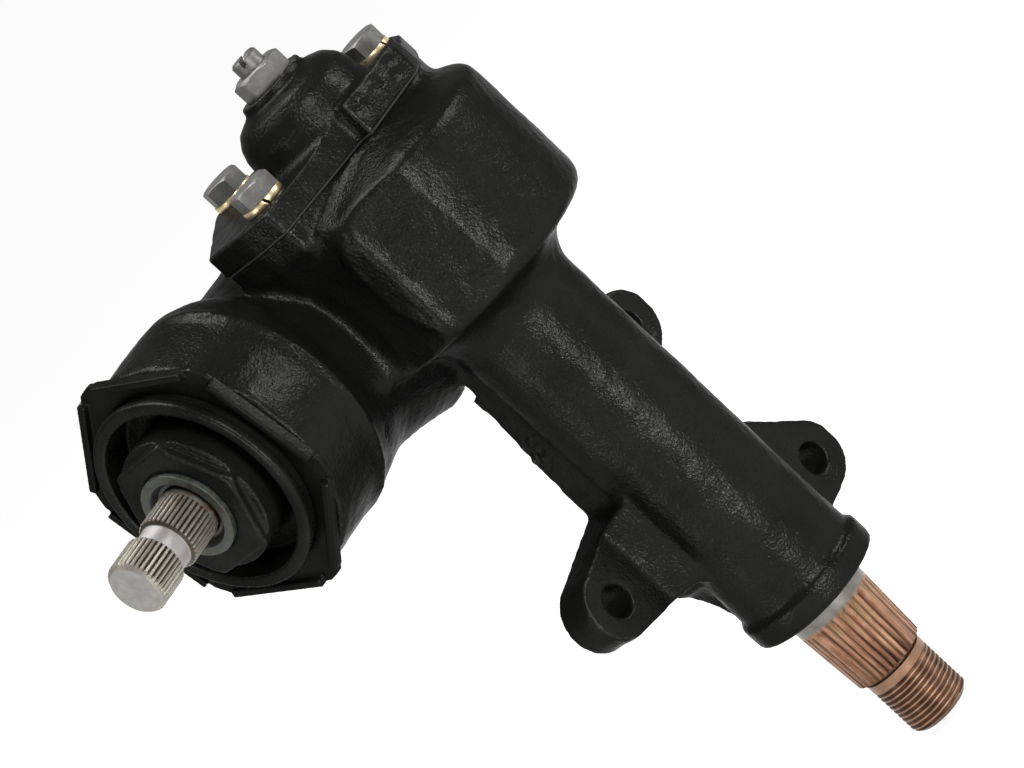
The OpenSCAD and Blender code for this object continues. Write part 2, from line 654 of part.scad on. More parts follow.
module bearing_cage(x, dir) {
    color([0.7, 0.6, 0.35]) race_set(x, dir) union() {
        translate([0, 0, -5.2]) difference() {
            cylinder(r = 18, h = 1.2);
            translate([0, 0, -1]) cylinder(r = 14.2, h = 4);
        }
        for (i = [0:race_balls - 1]) rotate([0, 0, (i + 0.5) * 360 / race_balls])
            translate([16, 0, -4.6]) cylinder(r = 1.1, h = 5);
    }
}

module upper_bearing_cup() {
    bearing_cup(upper_ball_x, 1);
}

module upper_bearing_balls() {
    bearing_balls(upper_ball_x, 1);
}

module upper_bearing_cage() {
    bearing_cage(upper_ball_x, 1);
}

module lower_bearing_cup() {
    bearing_cup(lower_ball_x, -1);
}

module lower_bearing_balls() {
    bearing_balls(lower_ball_x, -1);
}

module lower_bearing_cage() {
    bearing_cage(lower_ball_x, -1);
}

module bearing_adjuster() {
    front = adjuster_front_x;
    nose = front + adjuster_hex_proud;
    color([0.06, 0.06, 0.06]) on_worm_axis() difference() {
        union() {
            rotate_extrude() polygon([[0, upper_ball_x - 3], [thread_radius - press_gap, upper_ball_x - 3],
                [thread_radius - press_gap, front - 3.4], [adjuster_rim_radius, front - 3],
                [adjuster_rim_radius, front - 0.6], [adjuster_rim_radius - 0.6, front], [0, front]]);
            translate([0, 0, front - 4]) cylinder(r = 24.4, h = 7);
            rotate([0, 0, hex_angle]) intersection() {
                translate([0, 0, front]) hex_prism(adjuster_hex_flats, nose - front);
                rotate_extrude() polygon([[0, front], [26, front], [26, nose - 1.6], [23, nose], [0, nose]]);
            }
        }
        translate([0, 0, front - adjuster_recess_depth]) difference() {
            cylinder(r = adjuster_recess_radius, h = adjuster_recess_depth + 1);
            translate([0, 0, -1]) cylinder(r = 24.4, h = adjuster_recess_depth + 3);
        }
        translate([0, 0, upper_ball_x - 4]) cylinder(r = bearing_cup_radius, h = cup_depth + 4);
        translate([0, 0, upper_ball_x]) cylinder(r = input_diameter / 2 + 1.2, h = 80);
        translate([0, 0, nose - 9]) cylinder(r = worm_seal_radius, h = 20);
    }
}

module adjuster_lock_ring() {
    back = neck_front_x;
    flat = lock_ring_flats / 2;
    color([0.06, 0.06, 0.06]) on_worm_axis() translate([0, 0, back]) difference() {
        union() {
            rotate([0, 0, tab_angle]) intersection() {
                hex_prism(lock_ring_flats - 0.6, lock_ring_thickness);
                translate([0, 0, -1]) cylinder(r = flat / cos(30) - 2, h = lock_ring_thickness + 2);
            }
            for (i = [0:5]) rotate([0, 0, 90 + 60 * i + tab_angle])
                translate([flat - 2.6, -lock_tab_length / 2, 0]) cube([2.6, lock_tab_length, lock_tab_depth]);
        }
        translate([0, 0, -1]) cylinder(r = thread_radius + 0.05, h = 20);
    }
}

module worm_seal() {
    nose = adjuster_front_x + adjuster_hex_proud;
    color([0.4, 0.42, 0.38]) on_worm_axis() translate([0, 0, nose - 9]) difference() {
        cylinder(r = worm_seal_radius - press_gap, h = 10.6);
        translate([0, 0, -1]) cylinder(r = input_diameter / 2 + running_gap, h = 20);
        translate([0, 0, 8]) cylinder(r1 = 10.8, r2 = 13.2, h = 4);
    }
}

housing();
side_cover();
cover_gasket();
cover_bolts();
cover_lock_washers();
lash_adjuster_screw();
lash_locknut();
lash_shim();
sector_shaft();
cover_bushing();
tube_bushing_upper();
tube_bushing_lower();
sector_seal();
worm_shaft();
ball_nut();
ball_circuit_front();
ball_circuit_rear();
ball_guide_front();
ball_guide_rear();
guide_clamp();
clamp_screws();
upper_bearing_cup();
upper_bearing_balls();
upper_bearing_cage();
lower_bearing_cup();
lower_bearing_balls();
lower_bearing_cage();
bearing_adjuster();
adjuster_lock_ring();
worm_seal();
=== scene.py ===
import json
import math
import bmesh
import bpy
import numpy as np
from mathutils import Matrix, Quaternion, Vector


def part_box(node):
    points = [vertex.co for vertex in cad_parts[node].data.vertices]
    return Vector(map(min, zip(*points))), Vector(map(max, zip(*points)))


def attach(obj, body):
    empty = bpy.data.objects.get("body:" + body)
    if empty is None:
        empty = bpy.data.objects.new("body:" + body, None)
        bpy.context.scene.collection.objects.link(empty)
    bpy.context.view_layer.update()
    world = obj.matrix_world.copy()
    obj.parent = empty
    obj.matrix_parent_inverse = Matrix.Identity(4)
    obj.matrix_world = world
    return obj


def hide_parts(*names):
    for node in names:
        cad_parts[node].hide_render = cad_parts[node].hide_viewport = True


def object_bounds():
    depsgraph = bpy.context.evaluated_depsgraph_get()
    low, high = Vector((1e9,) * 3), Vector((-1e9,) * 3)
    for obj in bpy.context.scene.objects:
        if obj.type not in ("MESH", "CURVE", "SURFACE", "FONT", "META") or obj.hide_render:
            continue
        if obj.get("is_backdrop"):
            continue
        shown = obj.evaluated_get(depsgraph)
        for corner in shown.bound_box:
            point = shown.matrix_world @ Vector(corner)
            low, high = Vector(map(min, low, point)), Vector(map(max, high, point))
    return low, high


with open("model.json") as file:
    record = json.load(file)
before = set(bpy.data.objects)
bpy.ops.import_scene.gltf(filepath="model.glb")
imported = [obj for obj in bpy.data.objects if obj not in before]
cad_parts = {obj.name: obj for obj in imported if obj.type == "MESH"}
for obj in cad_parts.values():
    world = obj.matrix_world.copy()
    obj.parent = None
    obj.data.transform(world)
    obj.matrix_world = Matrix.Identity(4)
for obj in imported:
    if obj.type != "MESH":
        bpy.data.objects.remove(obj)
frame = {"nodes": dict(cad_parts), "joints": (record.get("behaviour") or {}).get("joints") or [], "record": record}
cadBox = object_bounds()
nodes = frame["nodes"]
scene = bpy.context.scene
mm = 0.001
wormAxis = next(j["pos_m"] for j in frame["joints"] if j["name"] == "worm_turn")  # a point on the worm's line, along X
print("frame loaded", len(nodes), "nodes")

# camera fitted to the photograph, image 1024 x 768
cameraSetup = {"place": (0.93396, 1.09097, 0.4338), "turn": (0.533222, -0.040706, 0.632541, 0.560275),
               "lens": 171.209, "sensor": 36.0, "far": 30.0}
cameraData = bpy.data.cameras.new("photoCamera")
cameraData.sensor_width = cameraSetup["sensor"]
cameraData.lens = cameraSetup["lens"]
cameraData.clip_end = cameraSetup["far"]
camera = bpy.data.objects.new("photoCamera", cameraData)
camera.location = cameraSetup["place"]
camera.rotation_mode = "QUATERNION"
camera.rotation_quaternion = Quaternion(cameraSetup["turn"])
scene.collection.objects.link(camera)
scene.camera = camera
scene.view_settings.view_transform = "Standard"

noiseSpan = (0.3, 0.7)  # nearly all of a noise's values lie in here


# small helpers for node materials
def newFinish(name):
    finish = bpy.data.materials.new(name)
    finish.use_nodes = True
    tree = finish.node_tree
    shader = tree.nodes["Principled BSDF"]
    point = tree.nodes.new("ShaderNodeTexCoord").outputs["Object"]
    return finish, tree, shader, point


def noiseOf(tree, point, scale, detail=2.0, rough=0.5, warp=0.0):
    node = tree.nodes.new("ShaderNodeTexNoise")
    for key, number in (("Scale", scale), ("Detail", detail), ("Roughness", rough), ("Distortion", warp)):
        node.inputs[key].default_value = number
    tree.links.new(point, node.inputs["Vector"])
    return node.outputs["Fac"]


def rampOf(tree, value, stops):
    node = tree.nodes.new("ShaderNodeValToRGB")
    while len(node.color_ramp.elements) < len(stops):
        node.color_ramp.elements.new(0.5)
    for element, (place, colour) in zip(node.color_ramp.elements, stops):
        element.position = place
        element.color = (*colour, 1.0)
    tree.links.new(value, node.inputs["Fac"])
    return node.outputs["Color"]


def rangeOf(tree, value, span, result=(0.0, 1.0)):
    node = tree.nodes.new("ShaderNodeMapRange")
    for key, number in zip(("From Min", "From Max", "To Min", "To Max"), (*span, *result)):
        node.inputs[key].default_value = number
    tree.links.new(value, node.inputs["Value"])
    return node.outputs["Result"]


def mathOf(tree, kind, first, second):
    node = tree.nodes.new("ShaderNodeMath")
    node.operation = kind
    for socket, value in zip(node.inputs, (first, second)):
        if isinstance(value, (int, float)):
            socket.default_value = value
        else:
            tree.links.new(value, socket)
    return node.outputs[0]


def mixOf(tree, amount, first, second):
    node = tree.nodes.new("ShaderNodeMix")
    node.data_type = "RGBA"
    tree.links.new(amount, node.inputs[0])
    for socket, value in ((node.inputs[6], first), (node.inputs[7], second)):  # the two colour sockets
        if isinstance(value, tuple):
            socket.default_value = (*value, 1.0)
        else:
            tree.links.new(value, socket)
    return node.outputs[2]


def bumpOf(tree, height, distance, strength, below=None):
    node = tree.nodes.new("ShaderNodeBump")
    node.inputs["Distance"].default_value = distance
    node.inputs["Strength"].default_value = strength
    tree.links.new(height, node.inputs["Height"])
    if below is not None:
        tree.links.new(below, node.inputs["Normal"])
    return node.outputs["Normal"]


def radiusOf(tree, point, axis):
    # distance from the worm's or the sector's line, and the point's own x, y and z
    parts = tree.nodes.new("ShaderNodeSeparateXYZ")
    tree.links.new(point, parts.inputs[0])
    if axis == "worm":
        across = mathOf(tree, "SUBTRACT", parts.outputs[1], wormAxis[1])
        up = mathOf(tree, "SUBTRACT", parts.outputs[2], wormAxis[2])
    else:
        across, up = parts.outputs[0], parts.outputs[1]
    squares = mathOf(tree, "ADD", mathOf(tree, "MULTIPLY", across, across), mathOf(tree, "MULTIPLY", up, up))
    return mathOf(tree, "SQRT", squares, 0.0), parts.outputs


# black paint: semi-gloss on the sand castings, rougher on the forging, smooth on the pressed ring
castPaint = {"grain": 1100.0, "grainDepth": 0.00025, "swell": 330.0, "swellDepth": 0.00018,
             "dark": (0.0105, 0.0105, 0.01), "light": (0.0145, 0.0145, 0.0137), "worn": (0.1, 0.1, 0.095),
             "edge": (0.525, 0.6), "gloss": (0.16, 0.26), "metal": 0.6}
forgedPaint = {"grain": 700.0, "grainDepth": 0.00022, "swell": 240.0, "swellDepth": 0.0002,
               "dark": (0.0105, 0.011, 0.0095), "light": (0.021, 0.022, 0.019), "worn": (0.09, 0.09, 0.08),
               "edge": (0.53, 0.62), "gloss": (0.22, 0.36), "metal": 0.6}
pressedPaint = {"grain": 900.0, "grainDepth": 0.00012, "swell": 300.0, "swellDepth": 0.00008,
                "dark": (0.0095, 0.0098, 0.0088), "light": (0.013, 0.0135, 0.012), "worn": (0.085, 0.085, 0.078),
                "edge": (0.54, 0.63), "gloss": (0.24, 0.36), "metal": 0.55}
paintNoise = {"cloud": 45.0, "wear": 420.0, "wearSpan": (0.4, 0.6), "wearShare": (0.25, 1.0), "gloss": 320.0,
              "swellStrength": 0.6, "grainStrength": 0.9, "tint": (0.5, 0.5, 0.5, 1.0)}


def paintedIron(name, setup):
    # part of the paint's return is a plain gloss that stays even towards the rim
    finish, tree, shader, point = newFinish(name)
    grain = noiseOf(tree, point, setup["grain"], 2.0, 0.55, 0.2)
    swell = noiseOf(tree, point, setup["swell"])
    cloud = noiseOf(tree, point, paintNoise["cloud"])
    paint = rampOf(tree, cloud, ((noiseSpan[0], setup["dark"]), (noiseSpan[1], setup["light"])))
    edge = tree.nodes.new("ShaderNodeNewGeometry").outputs["Pointiness"]
    patches = noiseOf(tree, point, paintNoise["wear"], 3.0)
    worn = mathOf(tree, "MULTIPLY", rangeOf(tree, edge, setup["edge"]),
                  rangeOf(tree, patches, paintNoise["wearSpan"], paintNoise["wearShare"]))
    tree.links.new(mixOf(tree, worn, paint, setup["worn"]), shader.inputs["Base Color"])
    sheen = noiseOf(tree, point, paintNoise["gloss"])
    tree.links.new(rangeOf(tree, sheen, noiseSpan, setup["gloss"]), shader.inputs["Roughness"])
    base = bumpOf(tree, swell, setup["swellDepth"], paintNoise["swellStrength"])
    fine = bumpOf(tree, grain, setup["grainDepth"], paintNoise["grainStrength"], base)
    tree.links.new(fine, shader.inputs["Normal"])
    shader.inputs["Metallic"].default_value = setup["metal"]
    shader.inputs["Specular IOR Level"].default_value = 0.0
    shader.inputs["Specular Tint"].default_value = paintNoise["tint"]
    return finish


castBlack = paintedIron("castBlack", castPaint)
forgedBlack = paintedIron("forgedBlack", forgedPaint)
pressedBlack = paintedIron("pressedBlack", pressedPaint)

# plain metals, fibre and rubber: colour between two tones, fine scratches in the roughness
plainSetups = {
    "zincGrey": {"dark": (0.083, 0.081, 0.077), "light": (0.138, 0.135, 0.129), "gloss": (0.4, 0.58), "metal": 0.8},
    "yellowZinc": {"dark": (0.5, 0.38, 0.21), "light": (0.82, 0.68, 0.42), "gloss": (0.26, 0.4), "metal": 0.9,
                   "grain": 700.0},
    "groundSteel": {"dark": (0.42, 0.42, 0.42), "light": (0.58, 0.58, 0.57), "gloss": (0.2, 0.32), "metal": 1.0},
    "ballSteel": {"dark": (0.6, 0.6, 0.6), "light": (0.7, 0.7, 0.7), "gloss": (0.08, 0.14), "metal": 1.0},
    "bushBronze": {"dark": (0.42, 0.27, 0.12), "light": (0.58, 0.4, 0.2), "gloss": (0.3, 0.4), "metal": 1.0},
    "cageBrass": {"dark": (0.55, 0.42, 0.18), "light": (0.68, 0.53, 0.25), "gloss": (0.28, 0.4), "metal": 1.0},
    "gasketFibre": {"dark": (0.005, 0.005, 0.0045), "light": (0.01, 0.0095, 0.008), "gloss": (0.85, 0.95),
                    "metal": 0.0, "grain": 1600.0, "depth": 0.00008},
    "sealRubber": {"dark": (0.012, 0.012, 0.012), "light": (0.024, 0.024, 0.023), "gloss": (0.5, 0.65),
                   "metal": 0.0, "grain": 1100.0, "depth": 0.00003}}
plainUsual = {"grain": 900.0, "depth": 0.00002, "cloudShare": 0.35, "strength": 0.7}


def plainFinish(name, setup):
    finish, tree, shader, point = newFinish(name)
    setup = {**plainUsual, **setup}
    grain = setup["grain"]
    cloud = noiseOf(tree, point, grain * setup["cloudShare"], 3.0, 0.6)
    colour = rampOf(tree, cloud, ((noiseSpan[0], setup["dark"]), (noiseSpan[1], setup["light"])))
    tree.links.new(colour, shader.inputs["Base Color"])
    sheen = rangeOf(tree, noiseOf(tree, point, grain), noiseSpan, setup["gloss"])
    tree.links.new(sheen, shader.inputs["Roughness"])
    scratches = bumpOf(tree, noiseOf(tree, point, grain, 3.0), setup["depth"], setup["strength"])
    tree.links.new(scratches, shader.inputs["Normal"])
    shader.inputs["Metallic"].default_value = setup["metal"]
    return finish


plain = {name: plainFinish(name, setup) for name, setup in plainSetups.items()}

# bright input shaft, colour darker towards the valleys of its serrations with spots of soil, and rust towards the seal
inputShaft = {"teeth": (8.85 * mm, 9.45 * mm), "turned": (7.7 * mm, 8.3 * mm), "chamferX": (0.1351, 0.1359),
              "grooveX": (0.128, 0.13), "rustX": (0.103, 0.113), "spots": 330.0, "soil": (-0.25, 0.2),
              "valleyTone": (0.055, 0.044, 0.032), "flankTone": (0.145, 0.128, 0.102), "bright": (0.255, 0.237, 0.205),
              "faceDark": (0.24, 0.237, 0.225), "faceLight": (0.35, 0.345, 0.33), "groove": (0.52, 0.51, 0.49),
              "rust": (0.15, 0.062, 0.026), "rustSpots": 260.0, "rustSpan": (0.48, 0.62),
              "gloss": (0.36, 0.52), "metal": 0.75, "scratch": 1400.0}
shaftScratch = (0.00003, 0.6)  # depth and strength


def inputSteelFinish(setup):
    finish, tree, shader, point = newFinish("inputSteel")
    radius, (x, _, _) = radiusOf(tree, point, "worm")
    spots = noiseOf(tree, point, setup["spots"], 4.0, 0.65)
    height = rangeOf(tree, radius, setup["teeth"])
    shaftTone = mathOf(tree, "ADD", height, rangeOf(tree, spots, noiseSpan, setup["soil"]))
    # the end chamfer is kept at the tip tone
    shaftTone = mathOf(tree, "ADD", shaftTone, rangeOf(tree, x, setup["chamferX"]))  # clean end chamfer
    # ramp from the valleys to the tips of the serrations: the deeper the point lies, the darker its colour
    metal = rampOf(tree, shaftTone, ((0.15, setup["valleyTone"]), (0.5, setup["flankTone"]), (0.85, setup["bright"])))
    inner = rangeOf(tree, radius, setup["turned"], (1.0, 0.0))  # turned faces nearer the axis stay clean
    face = rampOf(tree, spots, ((0.3, setup["faceDark"]), (0.75, setup["faceLight"])))
    clean = mixOf(tree, inner, metal, face)
    groove = mathOf(tree, "MULTIPLY", inner, rangeOf(tree, x, setup["grooveX"], (1.0, 0.0)))
    clean = mixOf(tree, groove, clean, setup["groove"])
    near = rangeOf(tree, x, setup["rustX"], (1.0, 0.0))
    rusty = rangeOf(tree, noiseOf(tree, point, setup["rustSpots"], 4.0, 0.7), setup["rustSpan"])
    rusty = mathOf(tree, "MULTIPLY", near, rusty)
    tree.links.new(mixOf(tree, rusty, clean, setup["rust"]), shader.inputs["Base Color"])
    tree.links.new(rangeOf(tree, spots, noiseSpan, setup["gloss"]), shader.inputs["Roughness"])
    scratches = noiseOf(tree, point, setup["scratch"], 3.0)
    tree.links.new(bumpOf(tree, scratches, *shaftScratch), shader.inputs["Normal"])
    shader.inputs["Metallic"].default_value = setup["metal"]
    return finish


inputSteel = inputSteelFinish(inputShaft)

# output shaft: copper-washed serrations, browner thread, bare steel collar by the tube
outputShaft = {"collarZ": (0.0272 - 0.001, 0.0272 + 0.0004), "threadZ": (0.001 - 0.0002, 0.001 + 0.0006),
               "teeth": (12.0 * mm, 14.0 * mm), "teethTone": (0.15, 0.8), "thread": (10.3 * mm, 11.1 * mm),
               "threadTone": (0.1, 0.75), "threadSoil": (-0.25, 0.25), "spots": 210.0, "streaks": 300.0,
               "streakStretch": (1.0, 1.0, 0.09), "streakSpan": (0.36, 0.64), "streakTone": (-0.45, 0.4),
               "valley": (0.11, 0.053, 0.031), "flank": (0.285, 0.144, 0.085), "tip": (0.48, 0.287, 0.19),
               "golden": (0.165, 0.1, 0.04), "goldenZ": (0.006, 0.024), "goldenShare": 0.9, "goldenSpan": (0.47, 0.55),
               "rust": (0.16, 0.066, 0.032), "rustSpan": (0.46, 0.58), "rustShare": 0.75, "rustStreaks": (0.44, 0.56),
               "threadDark": (0.085, 0.046, 0.028), "threadLight": (0.265, 0.15, 0.095),
               "collarDark": (0.11, 0.104, 0.095), "collarLight": (0.19, 0.181, 0.168),
               "gloss": (0.3, 0.46), "metal": 0.85, "scratch": 1300.0}


def copperedFinish(setup):
    finish, tree, shader, point = newFinish("copperedSteel")
    radius, (_, _, z) = radiusOf(tree, point, "sector")
    spots = noiseOf(tree, point, setup["spots"], 4.0, 0.62)
    along = tree.nodes.new("ShaderNodeMapping")  # streaks run along the shaft
    along.inputs["Scale"].default_value = setup["streakStretch"]
    tree.links.new(point, along.inputs["Vector"])
    streaks = noiseOf(tree, along.outputs[0], setup["streaks"], 3.0, 0.6)
    height = mathOf(tree, "ADD", rangeOf(tree, radius, setup["teeth"], setup["teethTone"]),
                    rangeOf(tree, streaks, setup["streakSpan"], setup["streakTone"]))
    spline = rampOf(tree, height, ((0.1, setup["valley"]), (0.5, setup["flank"]), (0.95, setup["tip"])))
    golden = mathOf(tree, "MULTIPLY", rangeOf(tree, z, setup["goldenZ"], (0.0, setup["goldenShare"])),
                    rangeOf(tree, streaks, setup["goldenSpan"]))
    spline = mixOf(tree, golden, spline, setup["golden"])
    rusted = mathOf(tree, "MULTIPLY", rangeOf(tree, spots, setup["rustSpan"], (0.0, setup["rustShare"])),
                    rangeOf(tree, streaks, setup["rustStreaks"], (1.0, 0.1)))
    spline = mixOf(tree, rusted, spline, setup["rust"])
    crest = mathOf(tree, "ADD", rangeOf(tree, radius, setup["thread"], setup["threadTone"]),
                   rangeOf(tree, spots, noiseSpan, setup["threadSoil"]))
    thread = rampOf(tree, crest, ((0.1, setup["threadDark"]), (0.9, setup["threadLight"])))
    collar = rampOf(tree, spots, ((noiseSpan[0], setup["collarDark"]), (noiseSpan[1], setup["collarLight"])))
    low = rangeOf(tree, z, setup["threadZ"])
    high = rangeOf(tree, z, setup["collarZ"])
    tree.links.new(mixOf(tree, high, mixOf(tree, low, thread, spline), collar), shader.inputs["Base Color"])
    tree.links.new(rangeOf(tree, spots, noiseSpan, setup["gloss"]), shader.inputs["Roughness"])
    scratches = noiseOf(tree, point, setup["scratch"], 3.0)
    tree.links.new(bumpOf(tree, scratches, *shaftScratch), shader.inputs["Normal"])
    shader.inputs["Metallic"].default_value = setup["metal"]
    return finish


copperedSteel = copperedFinish(outputShaft)

# worm seal: greenish plated case, black lip inside
wormSeal = {"lipEdge": (12.9 * mm, 13.3 * mm), "spots": 420.0, "caseDark": (0.034, 0.038, 0.03),
            "caseLight": (0.072, 0.077, 0.063), "lipDark": (0.01, 0.0105, 0.01), "lipLight": (0.02, 0.021, 0.02),
            "metal": 0.7, "gloss": (0.35, 0.5), "scratch": 1200.0}


def sealCaseFinish(setup):
    finish, tree, shader, point = newFinish("sealCase")
    radius = radiusOf(tree, point, "worm")[0]
    spots = noiseOf(tree, point, setup["spots"], 3.0)
    case = rampOf(tree, spots, ((noiseSpan[0], setup["caseDark"]), (noiseSpan[1], setup["caseLight"])))
    lip = rampOf(tree, spots, ((noiseSpan[0], setup["lipDark"]), (noiseSpan[1], setup["lipLight"])))
    rim = rangeOf(tree, radius, setup["lipEdge"])
    tree.links.new(mixOf(tree, rim, lip, case), shader.inputs["Base Color"])
    tree.links.new(rangeOf(tree, radius, setup["lipEdge"], (0.0, setup["metal"])), shader.inputs["Metallic"])
    tree.links.new(rangeOf(tree, spots, noiseSpan, setup["gloss"]), shader.inputs["Roughness"])
    scratches = noiseOf(tree, point, setup["scratch"])
    tree.links.new(bumpOf(tree, scratches, *shaftScratch), shader.inputs["Normal"])
    return finish


sealCase = sealCaseFinish(wormSeal)
print("finishes ready")

finishOf = {"housing": castBlack, "side_cover": castBlack, "bearing_adjuster": forgedBlack,
            "adjuster_lock_ring": pressedBlack, "sector_shaft": copperedSteel, "worm_shaft": inputSteel,
            "worm_seal": sealCase}
plainNodes = {"zincGrey": ("cover_bolts", "lash_adjuster_screw", "lash_locknut", "ball_guide_front", "ball_guide_rear",
                           "guide_clamp", "clamp_screws"),
              "yellowZinc": ("cover_lock_washers",),
              "groundSteel": ("lash_shim", "ball_nut", "upper_bearing_cup", "lower_bearing_cup"),
              "ballSteel": ("ball_circuit_front", "ball_circuit_rear", "upper_bearing_balls", "lower_bearing_balls"),
              "bushBronze": ("cover_bushing", "tube_bushing_upper", "tube_bushing_lower"),
              "cageBrass": ("upper_bearing_cage", "lower_bearing_cage"),
              "gasketFibre": ("cover_gasket",), "sealRubber": ("sector_seal",)}
for kind, names in plainNodes.items():
    finishOf.update({name: plain[kind] for name in names})
for name, finish in finishOf.items():
    nodes[name].data.materials.clear()
    nodes[name].data.materials.append(finish)


def linkPiece(name, mesh, finish, body, *replaced):
    piece = bpy.data.objects.new(name, mesh)
    scene.collection.objects.link(piece)
    mesh.materials.clear()
    mesh.materials.append(finish)
    for polygon in mesh.polygons:
        polygon.use_smooth = True
    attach(piece, body)
    if replaced:
        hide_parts(*replaced)


def bakedWith(mesh, name, kind, **settings):
    # the mesh after one modifier
    holder = bpy.data.objects.new("holder", mesh)
    scene.collection.objects.link(holder)
    modifier = holder.modifiers.new(name, kind)
    for key, value in settings.items():
        setattr(modifier, key, value)
    result = bpy.data.meshes.new_from_object(holder.evaluated_get(bpy.context.evaluated_depsgraph_get()))
    bpy.data.objects.remove(holder)
    bpy.data.meshes.remove(mesh)
    return result


def evened(mesh, voxel):
    return bakedWith(mesh, "even", "REMESH", mode="VOXEL", voxel_size=voxel * mm)


def thinned(mesh, share):
    return bakedWith(mesh, "fewer", "DECIMATE", ratio=share)


def pointsOf(mesh):
    points = np.empty(len(mesh.vertices) * 3)
    mesh.vertices.foreach_get("co", points)
    return points.reshape(-1, 3)


def normalsOf(mesh):
    normals = np.empty(len(mesh.vertices) * 3)
    mesh.vertex_normals.foreach_get("vector", normals)
    return normals.reshape(-1, 3)


def setPoints(mesh, points):
    mesh.vertices.foreach_set("co", points.ravel())
    mesh.update()


def rise(value, start, width, least=0.0):
    # from the least to 1 over the width after the start
    return np.clip((value - start) / width, least, 1)


def fall(value, end, width):
    # from 1 to 0 over the width before the end
    return np.clip((end - value) / width, 0, 1)


def between(value, span):
    return (value > span[0]) & (value < span[1])


def everywhere(points):
    return np.ones(len(points))


def soften(mesh, rounds, give, fill=0, fillGive=everywhere):
    # rounds relax every edge, the fill rounds only build up hollow corners
    points = pointsOf(mesh)
    ends = np.empty(len(mesh.edges) * 2, dtype=np.int64)
    mesh.edges.foreach_get("vertices", ends)
    ends = ends.reshape(-1, 2)
    start = np.concatenate([ends[:, 0], ends[:, 1]])
    other = np.concatenate([ends[:, 1], ends[:, 0]])
    count = np.maximum(np.bincount(start, minlength=len(points)), 1)
    share = 0.5 * give(points)[:, None]
    fillShare = share * fillGive(points)[:, None]
    for turn in range(rounds + fill):
        around = np.stack([np.bincount(start, points[other, k], len(points)) / count for k in range(3)], axis=1)
        move = around - points
        if turn < rounds:
            points = points + share * move
            continue
        if (turn - rounds) % 8 == 0:  # fresh normals now and then
            setPoints(mesh, points)
            normals = normalsOf(mesh)
        points = points + fillShare * move * ((move * normals).sum(axis=1) > 0)[:, None]
    setPoints(mesh, points)


def ripple(points, size, seed):
    # sum of sines in fixed random directions, about -1 to 1
    pick = np.random.default_rng(seed)
    total = np.zeros(len(points))
    for _ in range(9):
        way = pick.normal(size=3)
        way /= np.linalg.norm(way)
        total += np.sin(points @ way * (2 * math.pi / size) * pick.uniform(0.7, 1.4) + pick.uniform(0, 6.28))
    return total / 3.0


def closeTo(points, place, reach):
    # 1 at the place, 0 beyond its reach
    distance = np.linalg.norm(points - np.array(place), axis=1)
    return np.clip(1.5 - 1.5 * distance / reach, 0.0, 1.0)


def push(mesh, amount):
    setPoints(mesh, pointsOf(mesh) + normalsOf(mesh) * amount[:, None])


def keepIn(mesh, node):
    low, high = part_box(node)
    setPoints(mesh, np.clip(pointsOf(mesh), np.array(low), np.array(high)))


# housing: cast skin, machined faces and bores left where they are
housing = {"voxel": 0.8, "rounds": 4, "fill": 22, "fillZ": (0.135, 0.012), "share": 0.4,
           "seat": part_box("cover_gasket")[0][2], "tubeEnd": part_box("housing")[0][2],
           "neckFront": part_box("housing")[1][0], "faceKeep": 0.0005, "faceFade": 0.001,
           "bores": {m["name"]: m["pos_m"] for m in frame["record"]["mounts"] if m["kind"] == "bore"},
           "boreReach": {"frame_bolt_a": 0.0066, "frame_bolt_b": 0.0104, "frame_bolt_c": 0.0104},
           "boreGive": 0.03, "lipZ": (0.044, 0.004), "lipGive": 0.4, "sectorBore": 0.0198,
           "sectorRoom": (0.0338, 0.0015, 0.0185), "wormBores": ((0.0356, 0.056), (0.0282, -0.063)),
           "swells": ((0.00009, 0.011, 3), (0.00005, 0.004, 4)), "sink": 0.00006,  # height, size and seed of each
           "flash": (0.0193, -0.021, 0.1255), "flashReach": 0.0085, "flashRough": (0.00035, 0.0032, 8)}
drum = {"flat": (0.735, 0.678, 0.04296), "flatX": 0.0407, "flatY": 0.015, "flatZ": (0.172, 0.229),
        "bead": (0.040, 0.020), "beadWidth": 0.0018, "beadHeight": 0.0019, "beadZ": (0.176, 0.222),
        "beadWay": (0.9, 0.436, 0.0), "fade": 0.004}
waist = {"neckRadius": 0.0425, "shoulder": 0.0632, "slope": 0.62, "radius": 0.0358, "deepest": 0.009, "startX": 0.0406,
         "lowZ": 0.145, "fadeZ": (0.172, 0.02), "topZ": (0.2215, 0.004), "lipHeight": 0.0015, "lipAfter": 0.0006,
         "lipWidth": 0.0017, "lipRadius": 0.038, "lipY": (-0.045, 0.02)}
shelf = {"plane": (0.37, 0.85, 0.375), "reach": 0.1105, "most": 0.0035, "x": (0.008, 0.044), "z": (0.2235, 0.2319),
         "y": 0.006, "coverEdge": (0.307, 0.952, 0.0228), "facing": 0.2}
earWeb = {"plane": (0.686, 0.728, 0.0), "reach": 0.0135, "most": 0.003, "x": (0.0205, 0.032), "y": (-0.0116, 0.001),
          "z": (0.062, 0.0995), "facing": 0.3}


def housingGive(points):
    x, y, z = points.T
    keep, fade = housing["faceKeep"], housing["faceFade"]
    give = rise(np.abs(z - housing["seat"]), keep, fade)
    give *= fall(x, housing["neckFront"] - keep, fade)
    give *= rise(z - housing["tubeEnd"], keep, fade)
    give *= rise(z, *housing["lipZ"], housing["lipGive"])  # crisp lip at the tube's end
    fromWorm = np.hypot(y - wormAxis[1], z - wormAxis[2])
    fromSector = np.hypot(x, y)
    roomRadius, roomShift, roomHalf = housing["sectorRoom"]
    inside = fromSector < housing["sectorBore"]
    inside |= (fromSector < roomRadius) & (np.abs(z - wormAxis[2] - roomShift) < roomHalf)
    for radius, start in housing["wormBores"]:
        inside |= (fromWorm < radius) & (x > start)
    give[inside] = 0.0
    for name, place in housing["bores"].items():
        give *= rise(np.hypot(x - place[0], z - place[2]), housing["boreReach"][name], fade, housing["boreGive"])
    return give


